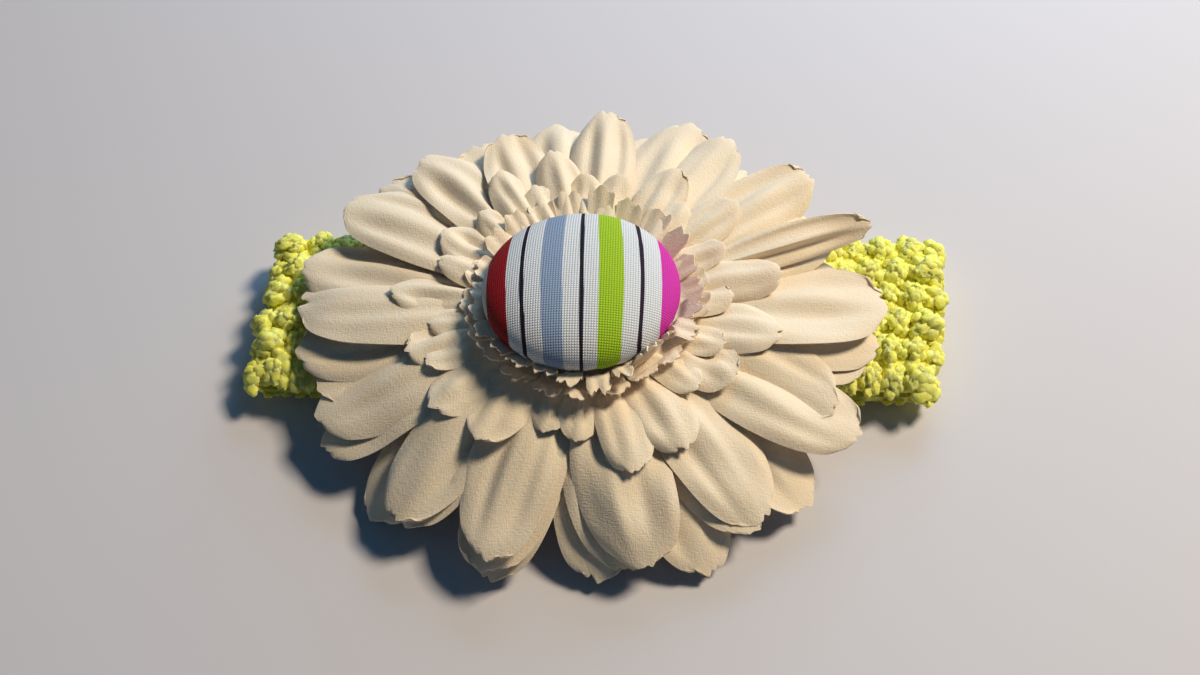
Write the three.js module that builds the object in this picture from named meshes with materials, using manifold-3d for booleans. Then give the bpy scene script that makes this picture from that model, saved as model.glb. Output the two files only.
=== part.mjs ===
// A fabric gerbera on a hair clip, clipped across a crocheted stretch headband that lies flat.
// Millimetres. +X runs along the flattened band, +Y across it, +Z is up.
// The origin is the middle of the band's underside.
import * as THREE from "three";
import { mergeVertices } from "three/addons/utils/BufferGeometryUtils.js";
import Module from "manifold-3d";

const wasm = await Module();
wasm.setup();

// ---- driving dimensions -------------------------------------------------------------------

const GAP = 0.3; // clearance left between pieces that touch

const BAND = { length: 144, width: 38, wall: 3, hollow: 5 };
BAND.height = 2 * BAND.wall + BAND.hollow;
const SEAM = { width: 2.4, length: 36, height: 1 };

const SHEET_METAL = 0.8;
const CLIP = {
  tipY: -17.5,
  pivotY: 22.5,
  pivotZ: 9.2,
  endY: 39.5,
  bendY: 26,
  upperWidth: 7.6,
  lowerWidth: 9.4,
  earThickness: 0.6,
  earRadius: 2,
  handleRise: 1.9,
  handleDrop: 3.6,
};
const TEETH = { count: 5, pitch: 1.7, height: 0.9 };
const PIN = { radius: 0.75, holeRadius: 1.1, headRadius: 1.4, headThickness: 0.5 };
const SPRING = {
  wire: 0.3,
  coilRadius: 1.5,
  turns: 3,
  halfLength: 1.4,
  legBendY: 26.5,
  legEndY: 34,
  lowerLegDrop: 3.8, // leg ends, measured from the pivot
  upperLegRise: 2.4,
};

const CENTRE = { x: -2.5, y: -8 }; // the axis of the flower and the button
const FELT = { radius: 20, thickness: 1.2 };
const GLUE = { thickness: 0.4, feltLength: 26, feltY: -2, flowerRadius: 8, buttonRadius: 7 };
const PEG = { radius: 1.6, flangeRadius: 5, flangeThickness: 0.6, hole: 1.9, washerRadius: 4 };

const PETAL = { thickness: 0.6, pitch: 0.9, holeRadius: 2.2, hubRadius: 13, fullRadius: 60 };
const BUTTON = {
  radius: 19.05,
  domeHeight: 7.2,
  rimHeight: 2.1,
  tilt: Math.PI / 30, // its front edge sits higher than its back edge
  shift: -0.7, // glued on a little to the left of the flower's axis
  glueThickness: 1, // on the axis; the glue is a wedge under the tilted button
  cloth: 0.5,
  shell: 0.5,
  turnIn: 2.6, // how far the cloth runs in under the rim
  plate: 0.6,
  plateRecess: 0.2,
};

// ---- heights, from the band upwards -------------------------------------------------------

const upperArmZ = BAND.height + GAP;
const upperArmTopZ = upperArmZ + SHEET_METAL;
const feltGlueZ = upperArmTopZ + GAP;
const feltZ = feltGlueZ + GLUE.thickness + GAP;
const flowerGlueZ = feltZ + FELT.thickness + GAP;
const flangeZ = flowerGlueZ + GLUE.thickness + GAP;
const hubZ = flangeZ + PEG.flangeThickness + GAP; // underside of the back petals' hub
const LAYERS = 7;
const washerZ = hubZ + (LAYERS - 1) * PETAL.pitch + PETAL.thickness + GAP;
const pegTopZ = washerZ + PEG.flangeThickness;
const buttonGlueZ = pegTopZ + GAP;
const buttonZ = buttonGlueZ + BUTTON.glueThickness + GAP; // underside of the button, on its axis
const lowerArmTopZ = BAND.wall + BAND.hollow - GAP - TEETH.height;

// ---- materials ----------------------------------------------------------------------------

const material = (color, roughness, metalness = 0) =>
  new THREE.MeshStandardMaterial({ color, roughness, metalness });
const yarn = material(0xdfe26a, 0.35);
const petalCloth = material(0xf3e9d8, 0.9);
const ruffleCloth = material(0xf4e2d8, 0.9);
const stripedCloth = material(0xf2f0ea, 0.8);
const feltCloth = material(0xf0ebe0, 1);
const steel = material(0xc4c6c8, 0.3, 1);
const aluminium = material(0xb8babd, 0.4, 1);
const glue = material(0xe9e4d2, 0.35);
const greenPlastic = material(0x6f9a4a, 0.5);

const part = new THREE.Group();

function addPiece(name, geometry, finish) {
  const mesh = new THREE.Mesh(geometry, finish);
  mesh.name = name;
  part.add(mesh);
  return mesh;
}

function addOnFlowerAxis(name, geometry, finish, z = 0) {
  addPiece(name, geometry, finish).position.set(CENTRE.x, CENTRE.y, z);
}

// ---- shape helpers ------------------------------------------------------------------------

// A solid for cutting and joining, made from any closed geometry.
function toSolid(geometry) {
  const bare = geometry.index ? geometry.clone() : geometry;
  bare.deleteAttribute("normal");
  bare.deleteAttribute("uv");
  const merged = mergeVertices(bare, 1e-4);
  return new wasm.Manifold(
    new wasm.Mesh({
      numProp: 3,
      vertProperties: new Float32Array(merged.attributes.position.array),
      triVerts: new Uint32Array(merged.index.array),
    }),
  );
}

function toGeometry(solid) {
  const mesh = solid.getMesh();
  const geometry = new THREE.BufferGeometry();
  geometry.setAttribute("position", new THREE.BufferAttribute(mesh.vertProperties, 3));
  geometry.setIndex(new THREE.BufferAttribute(mesh.triVerts, 1));
  return geometry;
}

// An outline drawn in Y and Z, extruded along X and centred on x.
function extrudeAlongX(shape, width, x = 0) {
  const geometry = new THREE.ExtrudeGeometry(shape, {
    depth: width,
    bevelEnabled: false,
    curveSegments: 12,
  });
  const axes = new THREE.Matrix4().makeBasis(
    new THREE.Vector3(0, 1, 0),
    new THREE.Vector3(0, 0, 1),
    new THREE.Vector3(1, 0, 0),
  );
  return geometry.applyMatrix4(axes).translate(x - width / 2, 0, 0);
}

// A flat round plate standing on z = 0, with an optional hole through its middle.
function roundPlate(radius, thickness, hole = 0, segments = 32) {
  const shape = new THREE.Shape().absarc(0, 0, radius, 0, 2 * Math.PI);
  if (hole) shape.holes.push(new THREE.Path().absarc(0, 0, hole, 0, 2 * Math.PI, true));
  return new THREE.ExtrudeGeometry(shape, {
    depth: thickness,
    bevelEnabled: false,
    curveSegments: segments / 2,
  });
}

// A profile of [radius, height] points turned about the Z axis.
function turned(profile, segments = 36) {
  const points = profile.map(([r, z]) => new THREE.Vector2(r, z));
  return new THREE.LatheGeometry(points, segments).rotateX(Math.PI / 2);
}

// A thin sheet: a flat triangulation lifted to a height and given a thickness.
// Its edges are the triangle edges that no second triangle shares.
function drapedSheet(points, triangles, height, thickness) {
  const positions = [];
  for (const lift of [thickness, 0])
    for (const [x, y] of points) positions.push(x, y, height(x, y) + lift);
  const below = points.length;
  const edges = new Set();
  for (const [a, b, c] of triangles)
    for (const edge of [[a, b], [b, c], [c, a]]) edges.add(edge.join());
  const index = [];
  for (const [a, b, c] of triangles) {
    index.push(a, b, c);
    index.push(below + a, below + c, below + b);
    for (const [from, to] of [[a, b], [b, c], [c, a]]) {
      if (edges.has([to, from].join())) continue;
      index.push(below + from, below + to, to);
      index.push(below + from, to, from);
    }
  }
  const geometry = new THREE.BufferGeometry();
  geometry.setAttribute("position", new THREE.Float32BufferAttribute(positions, 3));
  geometry.setIndex(index);
  return geometry;
}

// ---- headband -----------------------------------------------------------------------------

// Half a turn at each end and a straight run between: the loop seen along Y.
function stadium(target, halfLength, lowZ, highZ, clockwise) {
  const radius = (highZ - lowZ) / 2;
  const midZ = (highZ + lowZ) / 2;
  const straight = halfLength - radius;
  const quarter = Math.PI / 2;
  if (clockwise) {
    target.absarc(-straight, midZ, radius, -quarter, quarter, true);
    target.absarc(straight, midZ, radius, quarter, -quarter, true);
  } else {
    target.absarc(straight, midZ, radius, -quarter, quarter);
    target.absarc(-straight, midZ, radius, quarter, 3 * quarter);
  }
  return target;
}

function headbandLoop() {
  const outline = stadium(new THREE.Shape(), BAND.length / 2, 0, BAND.height, false);
  const inside = [BAND.length / 2 - BAND.wall, BAND.wall, BAND.wall + BAND.hollow];
  outline.holes.push(stadium(new THREE.Path(), ...inside, true));
  const geometry = new THREE.ExtrudeGeometry(outline, {
    depth: BAND.width,
    bevelEnabled: false,
    curveSegments: 10,
  });
  const axes = new THREE.Matrix4().makeBasis(
    new THREE.Vector3(1, 0, 0),
    new THREE.Vector3(0, 0, 1),
    new THREE.Vector3(0, -1, 0),
  );
  return geometry.applyMatrix4(axes).translate(0, BAND.width / 2, 0);
}

// ---- clip ---------------------------------------------------------------------------------

// Two ears, drawn round the pivot and reaching to the arm at rootZ, with the pin's hole through them.
function withEars(arm, outerWidth, rootZ) {
  let solid = toSolid(arm);
  const earX = (outerWidth - CLIP.earThickness) / 2;
  for (const side of [-1, 1]) {
    const round = new THREE.Shape().absarc(CLIP.pivotY, CLIP.pivotZ, CLIP.earRadius, 0, 2 * Math.PI);
    const neck = new THREE.Shape([
      new THREE.Vector2(CLIP.pivotY - CLIP.earRadius, Math.min(CLIP.pivotZ, rootZ)),
      new THREE.Vector2(CLIP.pivotY + CLIP.earRadius, Math.min(CLIP.pivotZ, rootZ)),
      new THREE.Vector2(CLIP.pivotY + CLIP.earRadius, Math.max(CLIP.pivotZ, rootZ)),
      new THREE.Vector2(CLIP.pivotY - CLIP.earRadius, Math.max(CLIP.pivotZ, rootZ)),
    ]);
    for (const shape of [round, neck])
      solid = solid.add(toSolid(extrudeAlongX(shape, CLIP.earThickness, side * earX)));
  }
  const hole = new THREE.Shape().absarc(CLIP.pivotY, CLIP.pivotZ, PIN.holeRadius, 0, 2 * Math.PI);
  return toGeometry(solid.subtract(toSolid(extrudeAlongX(hole, 2 * outerWidth))));
}

function clipUpperArm() {
  const low = upperArmZ;
  const top = upperArmTopZ;
  const arm = new THREE.Shape([
    new THREE.Vector2(CLIP.tipY, low),
    new THREE.Vector2(CLIP.bendY, low),
    new THREE.Vector2(CLIP.endY, low + CLIP.handleRise),
    new THREE.Vector2(CLIP.endY, top + CLIP.handleRise),
    new THREE.Vector2(CLIP.bendY, top),
    new THREE.Vector2(CLIP.tipY, top),
  ]);
  return withEars(extrudeAlongX(arm, CLIP.upperWidth), CLIP.upperWidth, low + SHEET_METAL / 2);
}

function clipLowerArm() {
  const top = lowerArmTopZ;
  const low = top - SHEET_METAL;
  const outline = [
    [CLIP.tipY, low],
    [CLIP.bendY, low],
    [CLIP.endY, low - CLIP.handleDrop],
    [CLIP.endY, top - CLIP.handleDrop],
    [CLIP.bendY, top],
  ];
  for (let tooth = TEETH.count; tooth > 0; tooth -= 1) {
    const backY = CLIP.tipY + tooth * TEETH.pitch;
    outline.push([backY, top], [backY - TEETH.pitch / 2, top + TEETH.height]);
  }
  outline.push([CLIP.tipY, top]);
  const arm = new THREE.Shape(outline.map(([y, z]) => new THREE.Vector2(y, z)));
  return withEars(extrudeAlongX(arm, CLIP.lowerWidth), CLIP.lowerWidth, top - SHEET_METAL / 2);
}

function clipHingePin() {
  const neck = CLIP.lowerWidth / 2 + GAP;
  const end = neck + PIN.headThickness;
  const profile = [
    [0, -end],
    [PIN.headRadius, -end],
    [PIN.headRadius, -neck],
    [PIN.radius, -neck],
    [PIN.radius, neck],
    [PIN.headRadius, neck],
    [PIN.headRadius, end],
    [0, end],
  ];
  return turned(profile, 20).rotateY(Math.PI / 2).translate(0, CLIP.pivotY, CLIP.pivotZ);
}

// One wire: a leg on the lower handle, the coil round the pin, and a leg under the upper handle.
function clipSpring() {
  const { pivotY, pivotZ } = CLIP;
  const sweep = (2 * SPRING.turns + 1) * Math.PI;
  const steps = 12 * SPRING.turns + 6;
  const points = [
    new THREE.Vector3(-SPRING.halfLength, SPRING.legEndY, pivotZ - SPRING.lowerLegDrop),
    new THREE.Vector3(-SPRING.halfLength, SPRING.legBendY, pivotZ - SPRING.coilRadius),
  ];
  for (let i = 0; i <= steps; i += 1) {
    const turn = (sweep * i) / steps;
    const x = SPRING.halfLength * ((2 * i) / steps - 1);
    const y = pivotY - SPRING.coilRadius * Math.sin(turn);
    const z = pivotZ - SPRING.coilRadius * Math.cos(turn);
    points.push(new THREE.Vector3(x, y, z));
  }
  points.push(
    new THREE.Vector3(SPRING.halfLength, SPRING.legBendY, pivotZ + SPRING.coilRadius),
    new THREE.Vector3(SPRING.halfLength, SPRING.legEndY, pivotZ + SPRING.upperLegRise),
  );
  const wire = new THREE.Shape().absarc(0, 0, SPRING.wire, 0, 2 * Math.PI);
  return new THREE.ExtrudeGeometry(wire, {
    steps: 72,
    curveSegments: 3,
    extrudePath: new THREE.CatmullRomCurve3(points, false, "centripetal"),
  });
}

// ---- petals -------------------------------------------------------------------------------

// How far the large petals fall towards their tips: most at the front, where they hang past the
// band's edge, little at the sides, where they lie on the band, and less still at the back.
function fallAt(x, y, front, side, back) {
  const sine = y / Math.hypot(x, y);
  return side + (sine < 0 ? front - side : back - side) * sine * sine;
}

// Rows along one petal: [fraction of its length, half its width].
const LARGE_ROWS = [[0.3, 4.6], [0.62, 7.1], [0.87, 5.6], [1, 2.4]];
const MEDIUM_ROWS = [[0.45, 4.6], [0.82, 4.2], [1, 1.8]];
const SMALL_ROWS = [[0.6, 3.6], [1, 1.6]];
const RUFFLE_ROWS = [[0.6, 2.1], [1, 1.2]];

// The height of a layer's surface over its own hub, for petals that fall or rise outwards.
const fallingLayer = (front, side, back) => (x, y) => {
  const out = Math.hypot(x, y) - PETAL.hubRadius;
  if (out <= 0) return 0;
  const along = out / (PETAL.fullRadius - PETAL.hubRadius);
  return -fallAt(x, y, front, side, back) * along ** 1.5;
};

// A ruffle stays flat under the button and turns up outside it.
const risingLayer = (flatRadius, slope) => (x, y) =>
  Math.max(0, Math.hypot(x, y) - flatRadius) * slope;

const PETAL_LAYERS = [
  { name: "back_petals", count: 14, phase: 90, radius: 59, rows: LARGE_ROWS,
    rise: fallingLayer(17, 2.8, 2) },
  { name: "middle_petals", count: 15, phase: 84, radius: 60, rows: LARGE_ROWS,
    rise: fallingLayer(14.5, 2, 1) },
  { name: "front_petals", count: 15, phase: 91, radius: 58, rows: LARGE_ROWS,
    rise: fallingLayer(10.5, 1.2, -1) },
  { name: "medium_petals", count: 14, phase: 80, radius: 40, rows: MEDIUM_ROWS,
    rise: fallingLayer(7, -0.5, -3) },
  { name: "small_petals", count: 14, phase: 92, radius: 31, rows: SMALL_ROWS,
    rise: fallingLayer(0, -3, -5) },
  { name: "outer_ruffle", count: 22, phase: 90, radius: 27, rows: RUFFLE_ROWS,
    rise: risingLayer(19.3, 0.3) },
  { name: "inner_ruffle", count: 20, phase: 86, radius: 23.5, rows: RUFFLE_ROWS,
    rise: risingLayer(18, 0.7) },
];

// The front petals hang down and the back ones curl up, so both reach less far out than the sides.
function reach(radius, angle) {
  const sine = Math.sin(angle);
  return radius * (1 - (sine < 0 ? 0.11 : 0.06) * sine * sine);
}

// A hub ring, cut into petals outside it. Neighbouring petals share one hub point, and the row
// across a petal has a left, a middle and a right point.
function petalLayer({ count, phase, radius, rows, rise }) {
  const points = [];
  const triangles = [];
  const pitch = (2 * Math.PI) / count;
  const start = THREE.MathUtils.degToRad(phase);
  const ring = 2 * count;
  for (const r of [PETAL.holeRadius, PETAL.hubRadius])
    for (let i = 0; i < ring; i += 1) {
      const angle = start + ((i - 1) * pitch) / 2;
      points.push([r * Math.cos(angle), r * Math.sin(angle)]);
    }
  const quad = (a, b, c, d) => triangles.push([a, b, c], [a, c, d]);
  for (let i = 0; i < ring; i += 1) {
    const next = (i + 1) % ring;
    quad(i, ring + i, ring + next, next);
  }
  for (let petal = 0; petal < count; petal += 1) {
    const angle = start + petal * pitch;
    const along = [Math.cos(angle), Math.sin(angle)];
    const length = reach(radius, angle) - PETAL.hubRadius;
    let row = [0, 1, 2].map((k) => ring + ((2 * petal + k) % ring));
    for (const [fraction, halfWidth] of rows) {
      const next = [];
      for (const side of [-1, 0, 1]) {
        const bulge = side ? 0 : 0.03 * length;
        const r = PETAL.hubRadius + fraction * length + bulge;
        const w = side * halfWidth;
        points.push([r * along[0] - w * along[1], r * along[1] + w * along[0]]);
        next.push(points.length - 1);
      }
      quad(row[0], next[0], next[1], row[1]);
      quad(row[1], next[1], next[2], row[2]);
      row = next;
    }
  }
  return drapedSheet(points, triangles, rise, PETAL.thickness);
}

// ---- flower centre ------------------------------------------------------------------------

function flowerPeg() {
  return turned([
    [0, flangeZ],
    [PEG.flangeRadius, flangeZ],
    [PEG.flangeRadius, flangeZ + PEG.flangeThickness],
    [PEG.radius, flangeZ + PEG.flangeThickness],
    [PEG.radius, pegTopZ],
    [0, pegTopZ],
  ], 24);
}

// ---- covered button -----------------------------------------------------------------------

// Points over the dome of a button pulled in by inset, from the axis out to its widest ring.
// Heights are measured from the button's underside.
function domeProfile(inset) {
  const steps = 7;
  const profile = [];
  for (let i = 0; i <= steps; i += 1) {
    const angle = (Math.PI / 2) * (i / steps);
    const r = (BUTTON.radius - inset) * Math.sin(angle);
    const rise = (BUTTON.domeHeight - inset) * Math.cos(angle) ** 0.9;
    profile.push([i ? r : 0, BUTTON.rimHeight + rise]);
  }
  profile[steps][1] = BUTTON.rimHeight;
  return profile;
}

// The cloth runs over the dome, turns in under the rim and ends inside the shell.
function buttonCover() {
  const cloth = BUTTON.cloth;
  const turnIn = BUTTON.radius - BUTTON.turnIn;
  return turned([
    ...domeProfile(cloth),
    [BUTTON.radius - 1.8 * cloth, cloth],
    [turnIn + cloth, cloth],
    [turnIn + cloth, BUTTON.rimHeight],
    [turnIn, BUTTON.rimHeight],
    [turnIn, 0],
    [BUTTON.radius - 1.8 * cloth, 0],
    ...domeProfile(0).reverse(),
  ]);
}

function buttonShell() {
  const outer = BUTTON.cloth + GAP;
  const inner = outer + BUTTON.shell;
  const foot = BUTTON.cloth + GAP;
  return turned([
    ...domeProfile(inner),
    [BUTTON.radius - inner - 0.1, foot],
    [BUTTON.radius - outer - 0.1, foot],
    ...domeProfile(outer).reverse(),
  ]);
}

// A disc of glue whose top leans with the button.
function buttonGlue() {
  const wedge = roundPlate(GLUE.buttonRadius, BUTTON.glueThickness);
  const places = wedge.attributes.position;
  const slope = Math.tan(BUTTON.tilt);
  for (let i = 0; i < places.count; i += 1)
    if (places.getZ(i) > 0) places.setZ(i, places.getZ(i) - places.getY(i) * slope);
  wedge.computeVertexNormals();
  return wedge;
}

function addToButton(name, geometry, finish) {
  geometry.rotateX(-BUTTON.tilt);
  addPiece(name, geometry, finish).position.set(CENTRE.x + BUTTON.shift, CENTRE.y, buttonZ);
}

// ---- assembly -----------------------------------------------------------------------------

addPiece("headband_loop", headbandLoop(), yarn);
const seam = new THREE.BoxGeometry(SEAM.width, SEAM.length, SEAM.height);
addPiece("headband_seam", seam, yarn).position.z = BAND.wall + GAP + SEAM.height / 2;

addPiece("clip_lower_arm", clipLowerArm(), steel);
addPiece("clip_upper_arm", clipUpperArm(), steel);
addPiece("clip_hinge_pin", clipHingePin(), steel);
addPiece("clip_spring", clipSpring(), steel);

const feltGlue = new THREE.BoxGeometry(CLIP.upperWidth - 1, GLUE.feltLength, GLUE.thickness);
const feltGlueMiddleZ = feltGlueZ + GLUE.thickness / 2;
addPiece("felt_glue_pad", feltGlue, glue).position.set(0, GLUE.feltY, feltGlueMiddleZ);
addOnFlowerAxis("felt_backing", roundPlate(FELT.radius, FELT.thickness), feltCloth, feltZ);
const flowerGlue = roundPlate(GLUE.flowerRadius, GLUE.thickness);
addOnFlowerAxis("flower_glue_pad", flowerGlue, glue, flowerGlueZ);
addOnFlowerAxis("flower_peg", flowerPeg(), greenPlastic);
PETAL_LAYERS.forEach((layer, level) => {
  const cloth = layer.rows === RUFFLE_ROWS ? ruffleCloth : petalCloth;
  addOnFlowerAxis(layer.name, petalLayer(layer), cloth, hubZ + level * PETAL.pitch);
});
const washer = roundPlate(PEG.washerRadius, PEG.flangeThickness, PEG.hole, 24);
addOnFlowerAxis("peg_washer", washer, greenPlastic, washerZ);
addOnFlowerAxis("button_glue_pad", buttonGlue(), glue, buttonGlueZ);
const backPlate = roundPlate(BUTTON.radius - BUTTON.turnIn - GAP, BUTTON.plate);
addToButton("button_back_plate", backPlate.translate(0, 0, BUTTON.plateRecess), aluminium);
addToButton("button_shell", buttonShell(), aluminium);
addToButton("button_cover", buttonCover(), stripedCloth);

export default part;
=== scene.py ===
"""A cream fabric gerbera with a striped covered button, on a hair clip, clipped to a crocheted headband.

Shapes are worked out in millimetres, in the frame's own axes, and scaled to metres as meshes are made.
"""

import math
import random
from types import SimpleNamespace

import bpy
import numpy as np
from mathutils import Matrix, Vector, noise


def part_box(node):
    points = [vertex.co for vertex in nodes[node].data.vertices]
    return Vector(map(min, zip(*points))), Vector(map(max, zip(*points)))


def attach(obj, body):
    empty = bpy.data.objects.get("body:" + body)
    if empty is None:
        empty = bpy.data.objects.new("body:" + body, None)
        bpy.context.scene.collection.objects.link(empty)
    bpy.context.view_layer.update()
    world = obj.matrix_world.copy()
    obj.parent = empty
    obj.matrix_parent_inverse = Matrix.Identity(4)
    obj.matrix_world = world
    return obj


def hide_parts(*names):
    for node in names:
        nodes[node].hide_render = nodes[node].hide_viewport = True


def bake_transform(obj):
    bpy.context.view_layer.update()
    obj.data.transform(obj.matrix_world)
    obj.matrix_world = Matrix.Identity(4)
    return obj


MM = 0.001
TAU = 2 * math.pi

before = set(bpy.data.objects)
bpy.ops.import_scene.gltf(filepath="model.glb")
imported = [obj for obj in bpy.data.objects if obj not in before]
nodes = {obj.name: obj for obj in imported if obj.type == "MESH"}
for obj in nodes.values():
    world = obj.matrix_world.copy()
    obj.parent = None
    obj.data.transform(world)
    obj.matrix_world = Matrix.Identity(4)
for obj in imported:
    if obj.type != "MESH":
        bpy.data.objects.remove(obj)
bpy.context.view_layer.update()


def low(node):
    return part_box(node)[0] / MM


def high(node):
    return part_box(node)[1] / MM


# ---- places, from the frame ---------------------------------------------------------------

CENTRE = (low("flower_peg") + high("flower_peg")) / 2
BUTTON_X = (low("button_cover").x + high("button_cover").x) / 2
BUTTON_RADIUS = (high("button_cover").x - low("button_cover").x) / 2
BUTTON_TILT = math.radians(6)  # the front edge sits higher than the back edge
GLUE_RADIUS = (high("button_glue_pad").x - low("button_glue_pad").x) / 2
BUTTON_FOOT_Z = high("button_glue_pad").z - GLUE_RADIUS * math.tan(BUTTON_TILT) + 0.3
LAYER_PITCH = 0.9
TOP_LAYER = 6
TOP_LAYER_Z = low("inner_ruffle").z
BAND_LOW = low("headband_loop")
BAND_HIGH = high("headband_loop")


def layer_z(level):
    """Height of a petal layer's hub, counted from the back layer."""
    return TOP_LAYER_Z - (TOP_LAYER - level) * LAYER_PITCH + 0.3


# ---- camera -------------------------------------------------------------------------------

CAMERA_TARGET = Vector((-0.5, -1.0, 0.0))
CAMERA_DISTANCE = 246.3
CAMERA_ELEVATION = math.radians(56.1)
CAMERA_AZIMUTH = math.radians(3.9)
CAMERA_ROLL = math.radians(2.7)
CAMERA_LENS = 34.45


def make_camera():
    """A camera that looks down on the flower from the front."""
    level = math.cos(CAMERA_ELEVATION)
    back = Vector(
        (
            math.sin(CAMERA_AZIMUTH) * level,
            -math.cos(CAMERA_AZIMUTH) * level,
            math.sin(CAMERA_ELEVATION),
        )
    )
    right = Vector((math.cos(CAMERA_AZIMUTH), math.sin(CAMERA_AZIMUTH), 0))
    up = back.cross(right)
    x_axis = right * math.cos(CAMERA_ROLL) - up * math.sin(CAMERA_ROLL)
    y_axis = right * math.sin(CAMERA_ROLL) + up * math.cos(CAMERA_ROLL)
    data = bpy.data.cameras.new("camera")
    data.lens = CAMERA_LENS
    data.sensor_width = 36
    data.clip_start = 0.01
    camera = bpy.data.objects.new("camera", data)
    bpy.context.scene.collection.objects.link(camera)
    turn = Matrix((x_axis, y_axis, back)).transposed().to_4x4()
    place = (CAMERA_TARGET + back * CAMERA_DISTANCE) * MM
    camera.matrix_world = Matrix.Translation(place) @ turn
    bpy.context.scene.camera = camera


# ---- mesh helpers -------------------------------------------------------------------------


def add_object(name, points, faces, uvs=None, sharp_deg=50):
    """A smooth-shaded mesh object from points in millimetres. uvs holds one pair for each point."""
    mesh = bpy.data.meshes.new(name)
    mesh.from_pydata((np.asarray(points, float) * MM).tolist(), [], faces)
    if uvs is not None:
        layer = mesh.uv_layers.new(name="flat")
        corners = np.zeros(len(mesh.loops), int)
        mesh.loops.foreach_get("vertex_index", corners)
        layer.data.foreach_set("uv", np.asarray(uvs, float)[corners].ravel())
    mesh.shade_smooth()
    mesh.set_sharp_from_angle(angle=math.radians(sharp_deg))
    mesh.validate()
    obj = bpy.data.objects.new(name, mesh)
    bpy.context.scene.collection.objects.link(obj)
    return obj


def point_normals(points, faces):
    """Area-weighted normals of a surface of quads and triangles."""
    normals = np.zeros_like(points)
    for size in (3, 4):
        group = np.array([f for f in faces if len(f) == size])
        if not len(group):
            continue
        a, b, c, d = (points[group[:, i]] for i in (0, 1, 2, size - 1))
        across = np.cross(c - a, d - b) if size == 4 else np.cross(b - a, c - a)
        for corner in range(size):
            np.add.at(normals, group[:, corner], across)
    length = np.linalg.norm(normals, axis=1, keepdims=True)
    return normals / np.maximum(length, 1e-9)


def thicken(points, faces, uvs, thickness):
    """Closes a surface into a sheet, thickness deep under it."""
    points = np.asarray(points, float)
    under = points - point_normals(points, faces) * thickness
    count = len(points)
    edges = set()
    for face in faces:
        for a, b in zip(face, face[1:] + face[:1]):
            edges.add((a, b))
    closed = list(faces)
    for face in faces:
        closed.append([i + count for i in reversed(face)])
    for a, b in edges:
        if (b, a) not in edges:
            closed.append([b, a, a + count, b + count])
    return np.vstack([points, under]), closed, np.vstack([uvs, uvs])


def smooth_step(x):
    """Goes smoothly from 0 to 1 as a number goes from 0 to 1."""
    x = min(max(x, 0.0), 1.0)
    return x * x * (3 - 2 * x)


def smooth_steps(x):
    """The same for an array."""
    x = np.clip(x, 0, 1)
    return x * x * (3 - 2 * x)


def ring_faces(a, b, count):
    """Quads between two closed rings of count points, which start at points a and b."""
    faces = []
    for i in range(count):
        j = (i + 1) % count
        faces.append([a + i, b + i, b + j, a + j])
    return faces


def disc_faces(rings, around):
    """A fan round point 0, then quads out to the last ring."""
    faces = [[0, 1 + i, 1 + (i + 1) % around] for i in range(around)]
    for ring in range(rings - 1):
        faces += ring_faces(1 + ring * around, 1 + (ring + 1) * around, around)
    return faces


# ---- materials ----------------------------------------------------------------------------

PETAL_THREADS = 3.4  # to a millimetre
PETAL_THREAD_DEPTH = 0.17
COTTON_THREAD = 0.5  # millimetres apart
COTTON_THREAD_DEPTH = 0.12
YARN_BUMP_DEPTH = 0.13


def add_node(tree, kind, inputs=None, **settings):
    """A shader node. An input that is another node's output is linked, and a value is set."""
    made = tree.nodes.new(kind)
    for key, value in settings.items():
        setattr(made, key, value)
    for key, value in (inputs or {}).items():
        if isinstance(value, bpy.types.NodeSocket):
            tree.links.new(value, made.inputs[key])
        else:
            made.inputs[key].default_value = value
    return made


def math_node(tree, operation, *values):
    made = add_node(tree, "ShaderNodeMath", dict(enumerate(values)), operation=operation)
    return made.outputs[0]


def new_material(name):
    material = bpy.data.materials.new(name)
    material.use_nodes = True
    tree = material.node_tree
    return material, tree, tree.nodes["Principled BSDF"]


def set_inputs(shader, values):
    for key, value in values.items():
        shader.inputs[key].default_value = value


def object_place(tree):
    return add_node(tree, "ShaderNodeTexCoord").outputs["Object"]


def flat_place(tree):
    """Millimetres on the flat cloth, from the piece's own map."""
    return add_node(tree, "ShaderNodeUVMap", uv_map="flat").outputs["UV"]


def stretch(tree, vector, factors):
    made = add_node(tree, "ShaderNodeVectorMath", {0: vector, 1: factors}, operation="MULTIPLY")
    return made.outputs[0]


def add_bump(tree, shader, height, strength, depth):
    """Bumps that are up to depth millimetres deep."""
    inputs = {"Height": height, "Strength": strength, "Distance": depth * MM}
    bump = add_node(tree, "ShaderNodeBump", inputs)
    tree.links.new(bump.outputs["Normal"], shader.inputs["Normal"])


def noise_value(tree, vector, scale, detail=3.0, roughness=0.55):
    made = add_node(
        tree,
        "ShaderNodeTexNoise",
        {"Vector": vector, "Scale": scale, "Detail": detail, "Roughness": roughness},
    )
    return made.outputs["Fac"]


def mix_colours(tree, factor, a, b):
    made = add_node(tree, "ShaderNodeMix", {0: factor}, data_type="RGBA")
    for index, colour in ((6, a), (7, b)):
        if isinstance(colour, bpy.types.NodeSocket):
            tree.links.new(colour, made.inputs[index])
        else:
            made.inputs[index].default_value = (*colour, 1)
    return made.outputs[2]


def weave_height(tree, uv, thread):
    """A plain weave: a raised spot wherever two threads cross, thread millimetres apart."""
    turned = stretch(tree, uv, (math.pi / thread,) * 3)
    parts = add_node(tree, "ShaderNodeSeparateXYZ", {0: turned})
    across = math_node(tree, "ABSOLUTE", math_node(tree, "SINE", parts.outputs[0]))
    along = math_node(tree, "ABSOLUTE", math_node(tree, "SINE", parts.outputs[1]))
    return math_node(tree, "MULTIPLY", across, along)


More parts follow.
